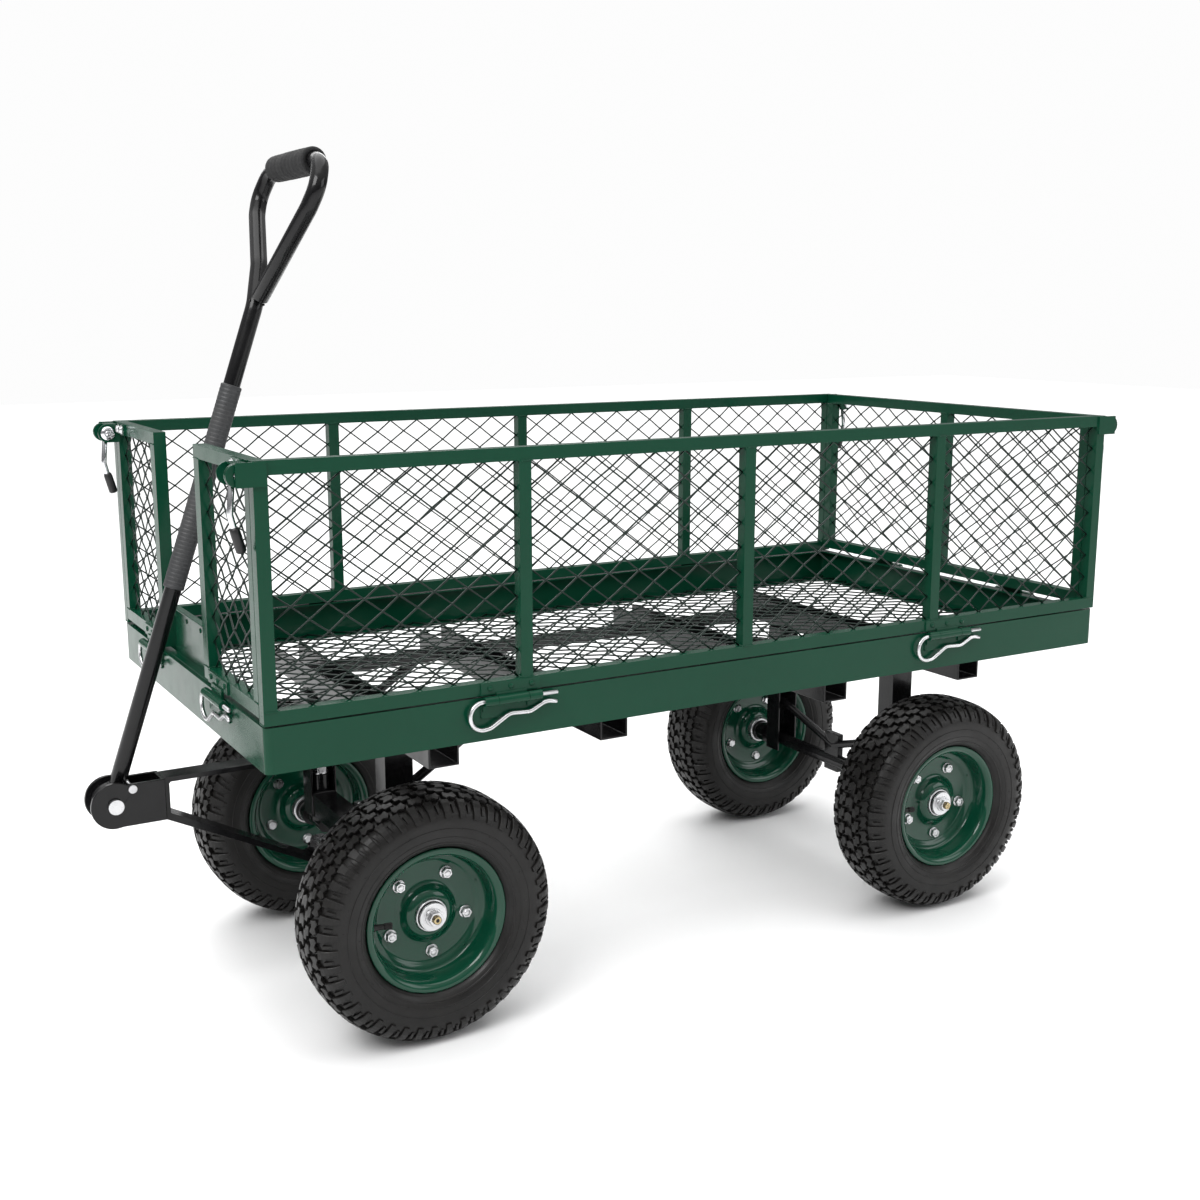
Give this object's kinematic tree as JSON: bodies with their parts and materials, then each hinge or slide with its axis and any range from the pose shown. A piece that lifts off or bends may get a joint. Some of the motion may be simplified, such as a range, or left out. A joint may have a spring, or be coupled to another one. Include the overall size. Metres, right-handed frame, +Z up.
{
  "type": "garden cart",
  "caption": "Four-wheeled garden cart with steerable front wheels, a pull handle and a mesh-floored tray whose mesh sides fold down.",
  "frame": {"origin": "on the ground, under the middle of the whole cart's bounding box", "axes": "+X towards the handle (forward), +Y to the cart's left, +Z up"},
  "size_m": [1.37, 0.634, 1.0313],
  "materials": {
    "green_paint": "gloss powder coat",
    "black_paint": "gloss",
    "zinc": "zinc plated",
    "chrome": "bright",
    "tyre_rubber": "matte",
    "grey_sleeve": "matte",
    "foam_grip": "matte foam"
  },
  "bodies": {
    "chassis": {"tray_rim": "green_paint", "tray_hinge_leaves": "green_paint", "notch_sill": "green_paint", "tray_floor": "green_paint", "cross_channels": "black_paint", "front_posts": "black_paint", "rear_posts": "black_paint", "front_beam": "black_paint", "steering_head": "black_paint", "steering_bolts": "zinc", "braces": "black_paint", "rear_axle": "black_paint", "rear_axle_nuts": "zinc"},
    "drawbar": {"drawbar_fork": "black_paint", "clevis": "black_paint", "handle_pivot_bolt": "zinc"},
    "handle": {"handle_tube": "black_paint", "handle_sleeve": "grey_sleeve", "handle_grip": "foam_grip"},
    "left_knuckle_body": {"left_knuckle": "black_paint", "left_knuckle_hardware": "zinc"},
    "right_knuckle_body": {"right_knuckle": "black_paint", "right_knuckle_hardware": "zinc"},
    "left_tie_rod_body": {"left_tie_rod": "black_paint"},
    "right_tie_rod_body": {"right_tie_rod": "black_paint"},
    "front_left_wheel": {"front_left_tyre": "tyre_rubber", "front_left_rim": "green_paint", "front_left_hub": "zinc"},
    "front_right_wheel": {"front_right_tyre": "tyre_rubber", "front_right_rim": "green_paint", "front_right_hub": "zinc"},
    "rear_left_wheel": {"rear_left_tyre": "tyre_rubber", "rear_left_rim": "green_paint", "rear_left_hub": "zinc"},
    "rear_right_wheel": {"rear_right_tyre": "tyre_rubber", "rear_right_rim": "green_paint", "rear_right_hub": "zinc"},
    "left_panel": {"left_panel_frame": "green_paint", "left_panel_mesh": "green_paint"},
    "right_panel": {"right_panel_frame": "green_paint", "right_panel_mesh": "green_paint"},
    "rear_panel": {"rear_panel_frame": "green_paint", "rear_panel_mesh": "green_paint"},
    "front_left_panel": {"front_left_frame": "green_paint", "front_left_mesh": "green_paint"},
    "front_right_panel": {"front_right_frame": "green_paint", "front_right_mesh": "green_paint"},
    "front_left_latch_body": {"front_left_latch": "chrome"},
    "front_right_latch_body": {"front_right_latch": "chrome"},
    "rear_left_latch_body": {"rear_left_latch": "chrome"},
    "rear_right_latch_body": {"rear_right_latch": "chrome"},
    "left_front_clip_body": {"left_front_clip": "zinc"},
    "left_rear_clip_body": {"left_rear_clip": "zinc"},
    "right_front_clip_body": {"right_front_clip": "zinc"},
    "right_rear_clip_body": {"right_rear_clip": "zinc"},
    "front_left_clip_body": {"front_left_clip": "zinc"},
    "front_right_clip_body": {"front_right_clip": "zinc"},
    "rear_left_clip_body": {"rear_left_clip": "zinc"},
    "rear_right_clip_body": {"rear_right_clip": "zinc"}
  },
  "joints": [
    {"name": "steer", "type": "hinge", "parent": "chassis", "child": "drawbar", "pos_m": [0.402, 0, 0.23], "axis": [0, 0, 1], "range_deg": [-18, 18]},
    {"name": "left_knuckle_turn", "type": "hinge", "parent": "chassis", "child": "left_knuckle_body", "pos_m": [0.352, 0.136, 0.19], "axis": [0, 0, 1], "range_deg": [-18, 18]},
    {"name": "right_knuckle_turn", "type": "hinge", "parent": "chassis", "child": "right_knuckle_body", "pos_m": [0.352, -0.136, 0.19], "axis": [0, 0, 1], "range_deg": [-18, 18]},
    {"name": "left_tie_rod_turn", "type": "hinge", "parent": "drawbar", "child": "left_tie_rod_body", "pos_m": [0.342, 0.012, 0.153], "axis": [0, 0, 1], "range_deg": [-18, 18]},
    {"name": "right_tie_rod_turn", "type": "hinge", "parent": "drawbar", "child": "right_tie_rod_body", "pos_m": [0.342, -0.012, 0.153], "axis": [0, 0, 1], "range_deg": [-18, 18]},
    {"name": "handle_swing", "type": "hinge", "parent": "drawbar", "child": "handle", "pos_m": [0.657, 0, 0.274], "axis": [0, 1, 0], "range_deg": [0, 126]},
    {"name": "front_left_wheel_spin", "type": "hinge", "parent": "left_knuckle_body", "child": "front_left_wheel", "pos_m": [0.352, 0.218, 0.152], "axis": [0, 1, 0], "continuous": true},
    {"name": "front_right_wheel_spin", "type": "hinge", "parent": "right_knuckle_body", "child": "front_right_wheel", "pos_m": [0.352, -0.218, 0.152], "axis": [0, 1, 0], "continuous": true},
    {"name": "rear_left_wheel_spin", "type": "hinge", "parent": "chassis", "child": "rear_left_wheel", "pos_m": [-0.442, 0.218, 0.152], "axis": [0, 1, 0], "continuous": true},
    {"name": "rear_right_wheel_spin", "type": "hinge", "parent": "chassis", "child": "rear_right_wheel", "pos_m": [-0.442, -0.218, 0.152], "axis": [0, 1, 0], "continuous": true},
    {"name": "left_panel_fold", "type": "hinge", "parent": "chassis", "child": "left_panel", "pos_m": [-0.048, 0.3115, 0.4225], "axis": [-1, 0, 0], "range_deg": [0, 175]},
    {"name": "right_panel_fold", "type": "hinge", "parent": "chassis", "child": "right_panel", "pos_m": [-0.048, -0.3115, 0.4225], "axis": [1, 0, 0], "range_deg": [0, 175]},
    {"name": "rear_panel_fold", "type": "hinge", "parent": "chassis", "child": "rear_panel", "pos_m": [-0.6645, 0, 0.4225], "axis": [0, -1, 0], "range_deg": [0, 175]},
    {"name": "front_left_panel_fold", "type": "hinge", "parent": "chassis", "child": "front_left_panel", "pos_m": [0.5685, 0.188, 0.4225], "axis": [0, 1, 0], "range_deg": [0, 175]},
    {"name": "front_right_panel_fold", "type": "hinge", "parent": "chassis", "child": "front_right_panel", "pos_m": [0.5685, -0.188, 0.4225], "axis": [0, 1, 0], "range_deg": [0, 175]},
    {"name": "front_left_latch_turn", "type": "hinge", "parent": "front_left_panel", "child": "front_left_latch_body", "pos_m": [0.577, 0.285, 0.688], "axis": [0, -1, 0], "range_deg": [0, 100]},
    {"name": "front_right_latch_turn", "type": "hinge", "parent": "front_right_panel", "child": "front_right_latch_body", "pos_m": [0.577, -0.285, 0.688], "axis": [0, -1, 0], "range_deg": [0, 100]},
    {"name": "rear_left_latch_turn", "type": "hinge", "parent": "rear_panel", "child": "rear_left_latch_body", "pos_m": [-0.673, 0.285, 0.688], "axis": [0, 1, 0], "range_deg": [0, 100]},
    {"name": "rear_right_latch_turn", "type": "hinge", "parent": "rear_panel", "child": "rear_right_latch_body", "pos_m": [-0.673, -0.285, 0.688], "axis": [0, 1, 0], "range_deg": [0, 100]},
    {"name": "left_front_clip_pull", "type": "slide", "parent": "chassis", "child": "left_front_clip_body", "axis": [1, 0, 0], "range_m": [0, 0.095]},
    {"name": "left_rear_clip_pull", "type": "slide", "parent": "chassis", "child": "left_rear_clip_body", "axis": [1, 0, 0], "range_m": [0, 0.095]},
    {"name": "right_front_clip_pull", "type": "slide", "parent": "chassis", "child": "right_front_clip_body", "axis": [1, 0, 0], "range_m": [0, 0.095]},
    {"name": "right_rear_clip_pull", "type": "slide", "parent": "chassis", "child": "right_rear_clip_body", "axis": [1, 0, 0], "range_m": [0, 0.095]},
    {"name": "front_left_clip_pull", "type": "slide", "parent": "chassis", "child": "front_left_clip_body", "axis": [0, -1, 0], "range_m": [0, 0.095]},
    {"name": "front_right_clip_pull", "type": "slide", "parent": "chassis", "child": "front_right_clip_body", "axis": [0, -1, 0], "range_m": [0, 0.095]},
    {"name": "rear_left_clip_pull", "type": "slide", "parent": "chassis", "child": "rear_left_clip_body", "axis": [0, 1, 0], "range_m": [0, 0.095]},
    {"name": "rear_right_clip_pull", "type": "slide", "parent": "chassis", "child": "rear_right_clip_body", "axis": [0, 1, 0], "range_m": [0, 0.095]}
  ],
  "couplings": [
    {"joint": "left_knuckle_turn", "follows": "steer", "ratio": 1},
    {"joint": "right_knuckle_turn", "follows": "steer", "ratio": 1},
    {"joint": "left_tie_rod_turn", "follows": "steer", "ratio": -1},
    {"joint": "right_tie_rod_turn", "follows": "steer", "ratio": -1}
  ]
}
